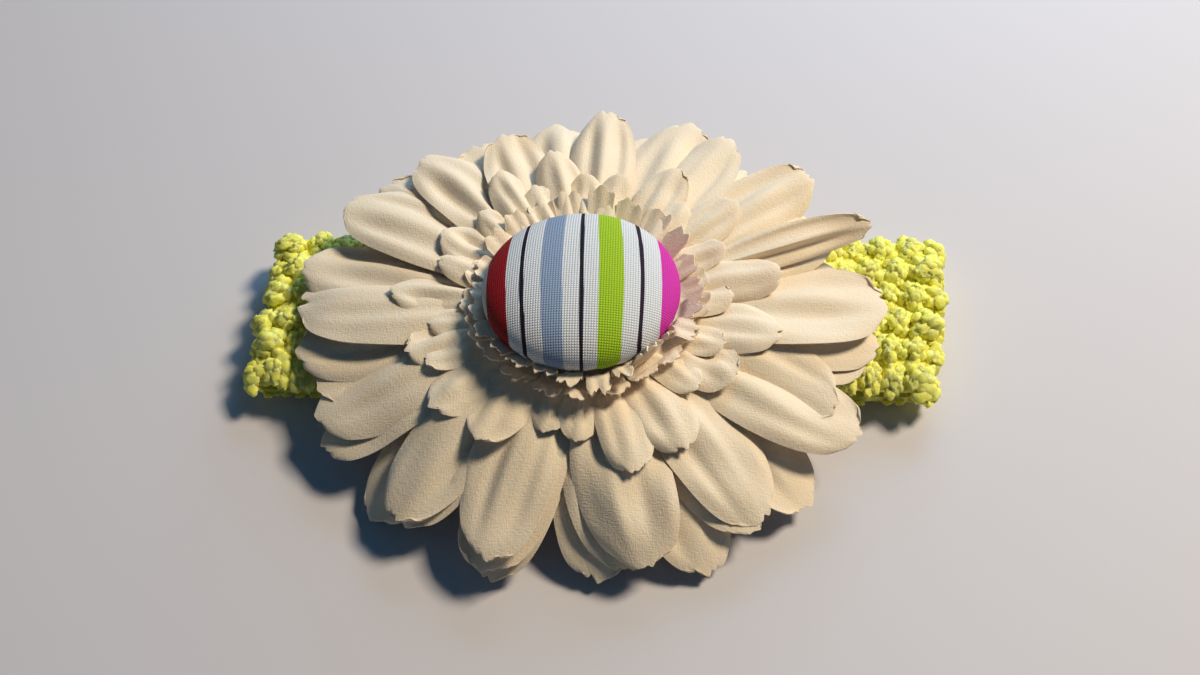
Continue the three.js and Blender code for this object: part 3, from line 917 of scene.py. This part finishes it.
def crochet_puffs(name, start, end, knots, detail, room, seed):
    """Raised clusters of knotted yarn, in rows across a stretch of the band, set like bricks."""
    rng = random.Random(seed)
    columns = round((end - start) / CELL)
    cell = (end - start) / columns
    verts, faces, flat = [], [], []
    for row in range(CELL_ROWS):
        for column in range(columns):
            u0 = start + cell * (column + 0.25 + 0.5 * (row % 2)) + rng.uniform(-0.7, 0.7)
            v0 = ROW_PITCH * (row - (CELL_ROWS - 1) / 2) + rng.uniform(-0.5, 0.5)
            height = room(u0) * rng.uniform(0.78, 1.15)
            turn = rng.uniform(0, TAU)
            for index in range(knots):
                size = rng.uniform(*KNOT_SIZES)
                angle = turn + KNOT_TURN * index + rng.uniform(-0.3, 0.3)
                out = math.sqrt(index / knots)
                du = CLUSTER_LONG * out * math.cos(angle)
                dv = CLUSTER_WIDE * out * math.sin(angle)
                level = height * (1 - 0.45 * out**2) * rng.uniform(0.85, 1.0)
                level = min(level, room(u0 + du)) - 1.1 * size
                made = knot(u0 + du, v0 + dv, level, size, *detail, rng)
                add_part(verts, faces, flat, made)
    points = np.array([tuple(p) for p in verts])
    return add_object(name, points, faces, np.array(flat), sharp_deg=80)


def top_room(u):
    """How far out yarn stands on the top: low where the clip slides, fuller towards the ends."""
    x = abs(band_point(u, 0, 0).x)
    return 2.4 + 1.2 * smooth_step((x - 50) / 8)


def floor_room(u):
    """How far out yarn stands underneath and round the ends, clear of the floor."""
    away = band_point(u, 0, 1) - band_point(u, 0, 0)
    return 2.15 + 1.1 * (1 + away.z) + 0.8 * (1 - away.z**2)


# ---- felt ---------------------------------------------------------------------------------

FELT = 0.95


def felt_disc():
    """The felt under the flower: a hand-cut edge and a slightly uneven face."""
    bottom, top = low("felt_backing"), high("felt_backing")
    middle = (bottom + top) / 2
    radius = (top.x - bottom.x) / 2
    around, rings = 120, 14
    points, flat = [(middle.x, middle.y, top.z)], [(0, 0)]
    for ring in range(1, rings + 1):
        for i in range(around):
            angle = TAU * i / around
            cut = 0.35 * math.sin(3 * angle + 1) + 0.2 * math.sin(7 * angle)
            r = (radius - 0.4 + cut * ring / rings) * ring / rings
            x, y = r * math.cos(angle), r * math.sin(angle)
            z = top.z - 0.12 - 0.12 * noise.noise(Vector((x, y, 0)) * 0.5)
            points.append((middle.x + x, middle.y + y, z))
            flat.append((x, y))
    faces = disc_faces(rings, around)
    return add_object("felt_disc", *thicken(np.array(points), faces, np.array(flat), FELT))


# ---- clip spring --------------------------------------------------------------------------

WIRE = 0.3
COIL_RADIUS = 1.5
COIL_HALF_LENGTH = 1.4
COIL_TURNS = 3.5
LEG_BEND = 4


def wire(points, radius, sides):
    """A round wire with closed ends, along a path that never runs along X."""
    count = len(points)
    verts, faces = [], []
    for i, place in enumerate(points):
        ahead = (points[min(i + 1, count - 1)] - points[max(i - 1, 0)]).normalized()
        side = ahead.cross(Vector((1, 0, 0))).normalized()
        up = side.cross(ahead)
        for k in range(sides):
            angle = TAU * k / sides
            verts.append(place + (side * math.cos(angle) + up * math.sin(angle)) * radius)
    for i in range(count - 1):
        faces += ring_faces(i * sides, (i + 1) * sides, sides)
    faces.append(list(range(sides)))
    faces.append([(count - 1) * sides + k for k in reversed(range(sides))])
    return verts, faces


def hinge_spring():
    """A torsion spring: a coil round the hinge pin, and a leg along each handle."""
    pin = (low("clip_hinge_pin") + high("clip_hinge_pin")) / 2
    bottom, top = low("clip_spring"), high("clip_spring")
    bend_y, end_y = pin.y + LEG_BEND, top.y - WIRE
    coil = []
    steps = 112
    for i in range(steps + 1):
        turn = TAU * COIL_TURNS * i / steps
        y = pin.y - COIL_RADIUS * math.sin(turn)
        z = pin.z - COIL_RADIUS * math.cos(turn)
        coil.append(Vector((pin.x + COIL_HALF_LENGTH * (2 * i / steps - 1), y, z)))
    legs = []
    for side, end_z in ((-1, bottom.z + WIRE), (1, top.z - WIRE)):
        x = pin.x + side * COIL_HALF_LENGTH
        bend = Vector((x, bend_y, pin.z + side * COIL_RADIUS))
        end = Vector((x, end_y, end_z))
        root = coil[0] if side < 0 else coil[-1]
        leg = [root.lerp(bend, share) for share in (0.35, 0.75)]
        legs.append(leg + [bend.lerp(end, share) for share in (0.08, 0.3, 0.65, 1)])
    path = list(reversed(legs[0])) + coil + legs[1]
    points, faces = wire(path, WIRE, 10)
    spring = add_object("coiled_spring", [tuple(p) for p in points], faces)
    start = Vector((0, pin.y, pin.z + 0.2)) * MM
    end = Vector((0, pin.y, pin.z + COIL_RADIUS - 0.1)) * MM
    return spring, start, end


# ---- putting it together ------------------------------------------------------------------


def dress(obj, material):
    """Gives a piece its one material."""
    obj.data.materials.clear()
    obj.data.materials.append(material)


def dress_node(name, material):
    """Gives a CAD node that stays in view its material."""
    for slot in nodes[name].material_slots:
        slot.material = material


def declare_cloth(piece, body, replaced, material):
    """Dresses a cloth piece, rides it on a body and puts it in a CAD node's place."""
    dress(piece, material)
    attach(piece, body)
    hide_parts(replaced)


def make_flower():
    cream = cloth_material("petal_cloth", (0.89, 0.74, 0.54), (0.79, 0.62, 0.42))
    blush = cloth_material("ruffle_cloth", (0.90, 0.75, 0.56), (0.81, 0.64, 0.45))
    layers = [
        ("cut_back_petals", "back_petals", BACK_PETALS, BACK, 21),
        ("cut_middle_petals", "middle_petals", MIDDLE_PETALS, LARGE, 33),
        ("cut_front_petals", "front_petals", FRONT_PETALS, LARGE, 47),
        ("cut_medium_petals", "medium_petals", MEDIUM_PETALS, MEDIUM, 52),
        ("cut_small_petals", "small_petals", SMALL_PETALS, SMALL, 68),
    ]
    for level, (name, node, petals, style, seed) in enumerate(layers):
        piece = petal_layer(name, level, petals, style, seed)
        declare_cloth(piece, "flower_clip", node, cream)
        petal_area(petals, style)
    ruffles = [
        ("cut_outer_ruffle", "outer_ruffle", 5, 20, outer_shape, 7),
        ("cut_inner_ruffle", "inner_ruffle", 6, 24, inner_shape, 9),
    ]
    for name, node, level, count, shape, seed in ruffles:
        piece = ruffle(name, level, count, shape, seed)
        declare_cloth(piece, "flower_clip", node, blush)
        reach = shape(0)[0] * MM


def make_button():
    cover = button_cover()
    declare_cloth(cover, "flower_clip", "button_cover", striped_cotton())


def make_headband():
    yarn = yarn_material()
    ground = band_base()
    # where each stretch ends, along the loop
    top_left = BAND_STRAIGHT
    top_right = 2 * BAND_STRAIGHT
    right_fold = top_right + FOLD_LENGTH
    under = right_fold + 2 * BAND_STRAIGHT
    stretches = [
        ("crochet_top_left", 0, top_left, 10, FINE_KNOT, top_room, 5),
        ("crochet_top_right", top_left, top_right, 10, FINE_KNOT, top_room, 4),
        ("crochet_underside", right_fold, under, 7, COARSE_KNOT, floor_room, 6),
        ("crochet_right_fold", top_right, right_fold, 10, FINE_KNOT, floor_room, 7),
        ("crochet_left_fold", under, LOOP_LENGTH, 10, FINE_KNOT, floor_room, 8),
    ]
    pieces = [crochet_puffs(*each) for each in stretches]
    for piece in (ground, *pieces):
        dress(piece, yarn)
        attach(piece, "headband")
    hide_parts("headband_loop")
    dress_node("headband_seam", yarn)


def make_felt():
    felt = felt_disc()
    declare_cloth(felt, "flower_clip", "felt_backing", felt_material())


def make_hardware():
    steel = metal_material("clip_steel", (0.72, 0.71, 0.69), 0.18, (9000.0, 500.0, 9000.0))
    pressed_metal = metal_material("button_metal", (0.75, 0.75, 0.74), 0.3, (2500.0, 2500.0, 600.0))
    glue = plastic_material("hot_glue", (0.80, 0.77, 0.66), 0.3, 0.4)
    green = plastic_material("peg_plastic", (0.16, 0.31, 0.08), 0.45, 0.0)
    for name in ("clip_lower_arm", "clip_upper_arm", "clip_hinge_pin"):
        dress_node(name, steel)
    spring, start, end = hinge_spring()
    dress(spring, steel)
    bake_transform(spring)
    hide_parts("clip_spring")
    for name in ("button_back_plate", "button_shell"):
        dress_node(name, pressed_metal)
    for name in ("felt_glue_pad", "flower_glue_pad", "button_glue_pad"):
        dress_node(name, glue)
    for name in ("flower_peg", "peg_washer"):
        dress_node(name, green)


# ---- studio -------------------------------------------------------------------------------


FLOOR_HALF = 3000
FLOOR_GAP = 0.02


def make_floor():
    """A pale painted floor, a hair below the object."""
    material, tree, shader = new_material("floor_paint")
    cloud = noise_value(tree, object_place(tree), 6.0, 2.0)
    tree.links.new(
        mix_colours(tree, cloud, (0.64, 0.605, 0.605), (0.61, 0.575, 0.575)),
        shader.inputs["Base Color"],
    )
    set_inputs(shader, {"Roughness": 0.7, "Specular IOR Level": 0.2})
    corners = [(x * FLOOR_HALF, y * FLOOR_HALF, 0) for x, y in ((-1, -1), (1, -1), (1, 1), (-1, 1))]
    floor = add_object("floor", corners, [[0, 1, 2, 3]])
    floor.location.z = -FLOOR_GAP * MM
    dress(floor, material)


def area_light(name, place, size, power, colour):
    """A square light that faces the object."""
    data = bpy.data.lights.new(name, "AREA")
    data.size = size * MM
    data.energy = power
    data.color = colour
    light = bpy.data.objects.new(name, data)
    bpy.context.scene.collection.objects.link(light)
    light.location = Vector(place) * MM
    aim = Vector((0, 0, 10)) - Vector(place)
    light.rotation_euler = aim.to_track_quat("-Z", "Y").to_euler()


# places and sizes in millimetres, powers in watts
KEY = {"place": (620, 305, 830), "size": 220, "power": 12.2, "colour": (1.0, 0.88, 0.71)}
WINDOW = {"place": (160, 430, 270), "size": 300, "power": 1.6, "colour": (0.34, 0.62, 1.0)}
SKY = {"colour": (0.22, 0.56, 1.0), "strength": 0.10}


def make_lights():
    for name, light in (("key", KEY), ("window", WINDOW)):
        area_light(name, light["place"], light["size"], light["power"], light["colour"])
    world = bpy.data.worlds.new("world")
    bpy.context.scene.world = world
    world.use_nodes = True
    background = world.node_tree.nodes["Background"]
    background.inputs["Color"].default_value = (*SKY["colour"], 1)
    background.inputs["Strength"].default_value = SKY["strength"]


make_camera()
make_flower()
make_button()
make_headband()
make_felt()
make_hardware()
make_floor()
make_lights()
bpy.context.scene.view_settings.view_transform = "Standard"
